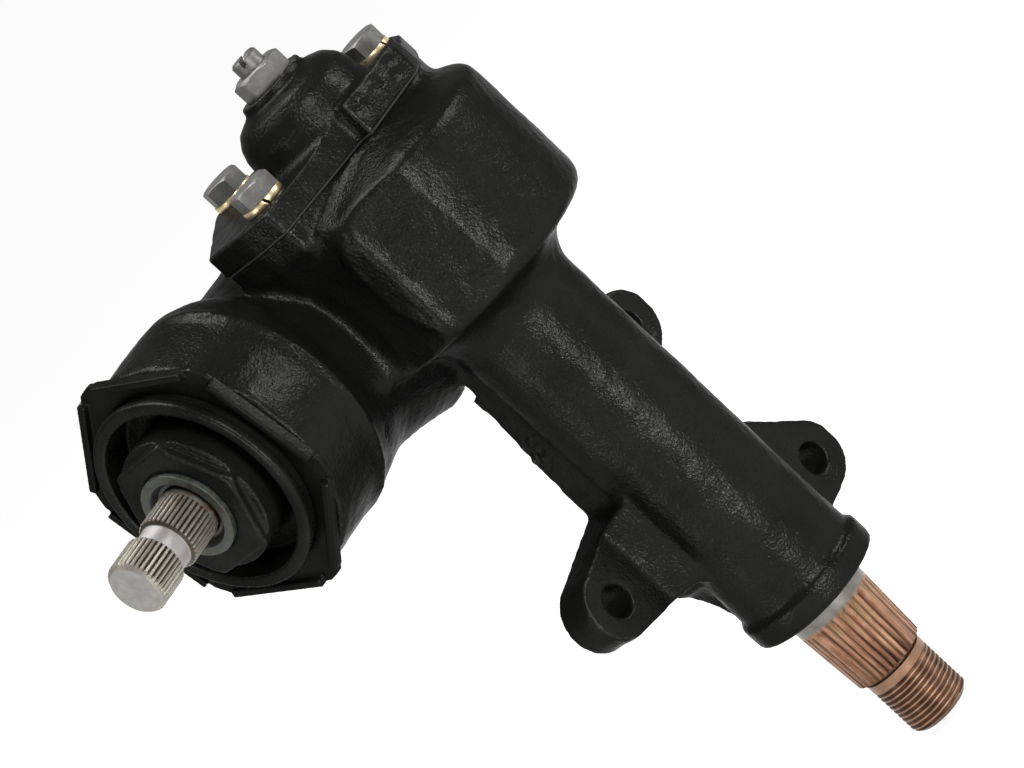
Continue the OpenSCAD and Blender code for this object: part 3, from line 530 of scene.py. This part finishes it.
def housingFill(points):
    return rise(points[:, 2], *housing["fillZ"])


def planeDrum(mesh):
    # second flat on the drum, from the edge of the first one to the lit band, and the bead between them
    points = pointsOf(mesh)
    x, y, z = points.T
    nx, ny, reach = drum["flat"]
    over = np.clip(nx * x + ny * y - reach, 0, None)
    over *= (x < drum["flatX"]) & (y > drum["flatY"]) & between(z, drum["flatZ"])
    points = points - over[:, None] * np.array([nx, ny, 0.0])
    edge = np.hypot(points[:, 0] - drum["bead"][0], points[:, 1] - drum["bead"][1])
    bead = drum["beadHeight"] * np.exp(-(edge / drum["beadWidth"]) ** 2)
    bead = bead * rise(z, drum["beadZ"][0], drum["fade"]) * fall(z, drum["beadZ"][1], drum["fade"])
    setPoints(mesh, points + bead[:, None] * np.array(drum["beadWay"]))


def drawWaist(mesh):
    # behind the neck's shoulder the case runs in as a plain cone up to the drum
    points = pointsOf(mesh)
    x, y, z = points.T
    across, up = y - wormAxis[1], z - wormAxis[2]
    fromWorm = np.hypot(across, up)
    cone = np.maximum(waist["neckRadius"] - waist["slope"] * (waist["shoulder"] - x), waist["radius"])
    over = np.clip(fromWorm - cone, 0, waist["deepest"]) * rise(z, *waist["fadeZ"])
    over *= (between(x, (waist["startX"], waist["shoulder"])) & (z > waist["lowZ"])) * fall(z, *waist["topZ"])
    lip = waist["lipHeight"] * np.exp(-((x - waist["shoulder"] - waist["lipAfter"]) / waist["lipWidth"]) ** 2)
    lip = lip * (fromWorm > waist["lipRadius"]) * (z > waist["lowZ"])
    lip *= rise(y, *waist["lipY"])  # raised edge on the near side only
    away = np.stack([np.zeros(len(x)), across, up], axis=1) / np.maximum(fromWorm, 0.001)[:, None]
    setPoints(mesh, points + away * (lip - over)[:, None])


def fillTo(mesh, setup, allowed):
    # lifts what lies under a plane and faces its way
    points, normals = pointsOf(mesh), normalsOf(mesh)
    nx, ny, nz = setup["plane"]
    x, y, z = points.T
    under = np.clip(setup["reach"] - nx * x - ny * y - nz * z, 0, setup["most"])
    under *= allowed(x, y, z)
    under *= nx * normals[:, 0] + ny * normals[:, 1] + nz * normals[:, 2] > setup["facing"]
    setPoints(mesh, points + under[:, None] * np.array(setup["plane"]))


def onShelf(x, y, z):
    # sloping band under the cover's near edge
    ex, ey, start = shelf["coverEdge"]
    return between(x, shelf["x"]) & between(z, shelf["z"]) & (y > shelf["y"]) & (ex * x + ey * y > start)


def onEarWeb(x, y, z):
    # the web between the front ear and the tube runs straight
    return between(x, earWeb["x"]) & between(y, earWeb["y"]) & between(z, earWeb["z"])


skin = evened(nodes["housing"].data.copy(), housing["voxel"])
planeDrum(skin)
drawWaist(skin)
fillTo(skin, shelf, onShelf)
fillTo(skin, earWeb, onEarWeb)
skin = evened(skin, housing["voxel"])
soften(skin, housing["rounds"], housingGive, housing["fill"], housingFill)
spread = pointsOf(skin)
flash = closeTo(spread, housing["flash"], housing["flashReach"])
uneven = sum(height * ripple(spread, size, seed) for height, size, seed in housing["swells"]) - housing["sink"]
rough, size, seed = housing["flashRough"]
push(skin, housingGive(spread) * uneven + flash * (rough * ripple(spread, size, seed)))
skin = thinned(skin, housing["share"])
keepIn(skin, "housing")
linkPiece("castHousing", skin, castBlack, "case", "housing")
print("housing cast", len(skin.polygons), "faces")

# side cover: same casting, its ledge chipped where the sprue broke off
cover = {"voxel": 0.6, "rounds": 5, "fill": 12, "share": 0.45, "low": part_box("side_cover")[0][2],
         "top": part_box("side_cover")[1][2], "boreRadius": 0.0172, "boreDepth": 0.0212,
         "lowFade": (0.0004, 0.0008), "topFade": (0.0003, 0.0006), "swell": (0.00007, 0.009, 5, 0.00005),
         "chips": (((0.0050, 0.0262, 0.2408), 0.0042), ((-0.0055, 0.0264, 0.2402), 0.0036)),
         "chipRough": (0.0004, 0.0026, 6, 0.0006),  # height, size, seed and depth
         "groove": ((-0.0145, 0.0264, 0.2395), 0.0070), "grooveRough": (0.00022, 0.005, 7, 0.0002)}


def coverGive(points):
    x, y, z = points.T
    give = rise(z - cover["low"], *cover["lowFade"])
    give *= fall(z, cover["top"] - cover["topFade"][0], cover["topFade"][1])
    give[(np.hypot(x, y) < cover["boreRadius"]) & (z < cover["low"] + cover["boreDepth"])] = 0.0
    return give


def roughened(points, height, size, seed, depth):
    return height * ripple(points, size, seed) - depth


skin = evened(nodes["side_cover"].data.copy(), cover["voxel"])
soften(skin, cover["rounds"], coverGive, cover["fill"])
spread = pointsOf(skin)
wear = coverGive(spread) * roughened(spread, *cover["swell"])
for place, reach in cover["chips"]:
    wear += closeTo(spread, place, reach) * roughened(spread, *cover["chipRough"])
wear += closeTo(spread, *cover["groove"]) * roughened(spread, *cover["grooveRough"])
push(skin, wear)
skin = thinned(skin, cover["share"])
keepIn(skin, "side_cover")
linkPiece("castCover", skin, castBlack, "case", "side_cover")
print("cover cast", len(skin.polygons), "faces")

# forged adjuster and pressed lock ring, edges just broken
forged = {"bearing_adjuster": {"name": "forgedAdjuster", "finish": forgedBlack, "voxel": 0.55, "rounds": 3},
          "adjuster_lock_ring": {"name": "pressedLockRing", "finish": pressedBlack, "voxel": 0.35, "rounds": 4}}
forgedShare = 0.5  # of the faces kept
for node, setup in forged.items():
    skin = evened(nodes[node].data.copy(), setup["voxel"])
    soften(skin, setup["rounds"], everywhere)
    linkPiece(setup["name"], thinned(skin, forgedShare), setup["finish"], "case", node)
print("adjuster and lock ring formed")

# bolts, nut, screw, washers and seal keep their own shape with the edges broken, widths in mm
hardware = {"cover_bolts": 0.25, "lash_locknut": 0.3, "lash_adjuster_screw": 0.2, "cover_lock_washers": 0.12,
            "worm_seal": 0.2}
hardwareEdge = {"weld": 0.000005, "segments": 2, "angle": math.radians(32)}
for node, width in hardware.items():
    weld = nodes[node].modifiers.new("weld", "WELD")
    weld.merge_threshold = hardwareEdge["weld"]
    edges = nodes[node].modifiers.new("edges", "BEVEL")
    edges.width = width * mm
    edges.segments = hardwareEdge["segments"]
    edges.limit_method = "ANGLE"
    edges.angle_limit = hardwareEdge["angle"]
    edges.use_clamp_overlap = True
print("hardware edges broken")

# sector shaft: upper part as made, pitman nut thread cut below the splines, lengths in mm
pitman = {"radius": 11.1125, "pitch": 1.814, "depth": 0.72, "around": 84, "rows": 12, "chamfer": 1.5, "top": 0.3,
          "cut": 0.1, "weld": 0.002, "relief": 2.4, "runOut": 1.2, "crest": 0.3, "flank": 0.6,
          "splineSharp": math.radians(28), "threadSharp": math.radians(50)}


def threadRod(setup, low):
    around = setup["around"]
    rows = int((setup["top"] - low) / setup["pitch"] * setup["rows"])
    heights = np.linspace(low, setup["top"], rows)
    angles = np.arange(around) / around
    phase = np.mod(heights[:, None] / setup["pitch"] - angles[None, :], 1.0)
    groove = setup["depth"] * rise(np.abs(2 * phase - 1), setup["crest"], setup["flank"])
    groove = groove * fall(heights, -setup["relief"], setup["runOut"])[:, None]  # plain neck under the splines
    radius = setup["radius"] - groove
    radius = np.minimum(radius, setup["radius"] - setup["chamfer"] + (heights - low)[:, None])
    ring = np.stack([radius * np.cos(angles * 2 * math.pi), radius * np.sin(angles * 2 * math.pi),
                     np.repeat(heights[:, None], around, axis=1)], axis=2).reshape(-1, 3)
    points = np.vstack([ring, [[0, 0, low], [0, 0, setup["top"]]]]) * mm
    last = (rows - 1) * around
    faces = []
    for first in range(0, last, around):
        for k in range(around):
            n = (k + 1) % around
            faces.append((first + k, first + n, first + around + n, first + around + k))
    for k in range(around):  # both ends
        n = (k + 1) % around
        faces.append((rows * around, n, k))
        faces.append((rows * around + 1, last + k, last + n))
    mesh = bpy.data.meshes.new("pitmanThread")
    mesh.from_pydata(points.tolist(), [], faces)
    return mesh


shaft = bmesh.new()
shaft.from_mesh(nodes["sector_shaft"].data)
bmesh.ops.remove_doubles(shaft, verts=shaft.verts, dist=pitman["weld"] * mm)
bmesh.ops.bisect_plane(shaft, geom=shaft.verts[:] + shaft.edges[:] + shaft.faces[:],
                       plane_co=(0, 0, pitman["cut"] * mm), plane_no=(0, 0, 1), clear_inner=True)
bmesh.ops.holes_fill(shaft, edges=[e for e in shaft.edges if e.is_boundary])
upperShaft = bpy.data.meshes.new("splinedSectorShaft")
shaft.to_mesh(upperShaft)
shaft.free()
linkPiece("splinedSectorShaft", upperShaft, copperedSteel, "sector", "sector_shaft")
upperShaft.set_sharp_from_angle(angle=pitman["splineSharp"])
rod = threadRod(pitman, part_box("sector_shaft")[0][2] / mm)
linkPiece("pitmanThread", rod, copperedSteel, "sector")
rod.set_sharp_from_angle(angle=pitman["threadSharp"])
print("pitman thread cut", len(rod.polygons), "faces")

# plain pale floor: its own white shows to the eye and in metal and lights nothing, and it keeps the shadow
floorSetup = {"size": 14.0, "drop": 0.004, "own": 0.84, "tone": 0.4}
floorMesh = bpy.data.meshes.new("floor")
half = floorSetup["size"] / 2
level = cadBox[0][2] - floorSetup["drop"]
corners = [(-half, -half, level), (half, -half, level), (half, half, level), (-half, half, level)]
floorMesh.from_pydata(corners, [], [(0, 1, 2, 3)])
floor = bpy.data.objects.new("floor", floorMesh)
scene.collection.objects.link(floor)
floorFinish = bpy.data.materials.new("paleFloor")
floorFinish.use_nodes = True
tree = floorFinish.node_tree
tree.nodes.remove(tree.nodes["Principled BSDF"])
matte = tree.nodes.new("ShaderNodeBsdfDiffuse")
matte.inputs["Color"].default_value = (floorSetup["tone"],) * 3 + (1.0,)
glow = tree.nodes.new("ShaderNodeEmission")
rays = tree.nodes.new("ShaderNodeLightPath").outputs
seen = mathOf(tree, "ADD", rays["Is Camera Ray"], rays["Is Glossy Ray"])
seen = mathOf(tree, "ADD", seen, rays["Is Transmission Ray"])
tree.links.new(rangeOf(tree, seen, (0.0, 1.0), (0.0, floorSetup["own"])), glow.inputs["Strength"])
both = tree.nodes.new("ShaderNodeAddShader")
tree.links.new(matte.outputs[0], both.inputs[0])
tree.links.new(glow.outputs[0], both.inputs[1])
tree.links.new(both.outputs[0], tree.nodes["Material Output"].inputs["Surface"])
floorMesh.materials.append(floorFinish)
floor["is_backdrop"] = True

# studio: even soft surroundings, boxes overhead and small lamps to both sides of the camera
studio = {"middle": (0.0, -0.01, 0.13), "horizon": 0.4, "overhead": 0.25, "blend": (0.2, 0.6)}
world = bpy.data.worlds.new("studio")
scene.world = world
world.use_nodes = True
tree = world.node_tree
background = tree.nodes["Background"]
way = tree.nodes.new("ShaderNodeSeparateXYZ")
tree.links.new(tree.nodes.new("ShaderNodeTexCoord").outputs["Generated"], way.inputs[0])
strength = rangeOf(tree, way.outputs[2], studio["blend"], (studio["horizon"], studio["overhead"]))
tree.links.new(strength, background.inputs["Strength"])
background.inputs["Color"].default_value = (1.0, 1.0, 1.0, 1.0)
lamps = {"sideLamp": {"toward": (0.42, 0.9, -0.06), "away": 0.8, "size": 0.16, "watts": 3.4},
         "domeLamp": {"toward": (0.32, 0.8, 0.5), "away": 0.9, "size": 0.32, "watts": 4.3},
         "neckLamp": {"toward": (-0.64, 0.7, 0.32), "away": 0.9, "size": 0.34, "watts": 5.3},
         "overhead": {"toward": (0.0, -0.3, 0.95), "away": 1.0, "size": 0.7, "watts": 9.0},
         "frontFill": {"toward": (0.93, -0.2, 0.02), "away": 0.9, "size": 0.3, "watts": 2.0},
         "edgeLamp": {"toward": (0.89, 0.42, -0.12), "away": 0.9, "size": 0.2, "watts": 0.7},
         "shelfLamp": {"toward": (-0.1, 0.0, 1.0), "away": 0.9, "size": 0.3, "watts": 3.6}}
for name, setup in lamps.items():
    lampData = bpy.data.lights.new(name, "AREA")
    lampData.size = setup["size"]
    lampData.energy = setup["watts"]
    lamp = bpy.data.objects.new(name, lampData)
    toward = Vector(setup["toward"]).normalized()
    lamp.location = Vector(studio["middle"]) + toward * setup["away"]
    lamp.rotation_mode = "QUATERNION"
    lamp.rotation_quaternion = toward.to_track_quat("Z", "Y")
    scene.collection.objects.link(lamp)
print("floor and lights placed")

size = {"cad": [list(cadBox[0]), list(cadBox[1])], "visual": [list(corner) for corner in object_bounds()]}
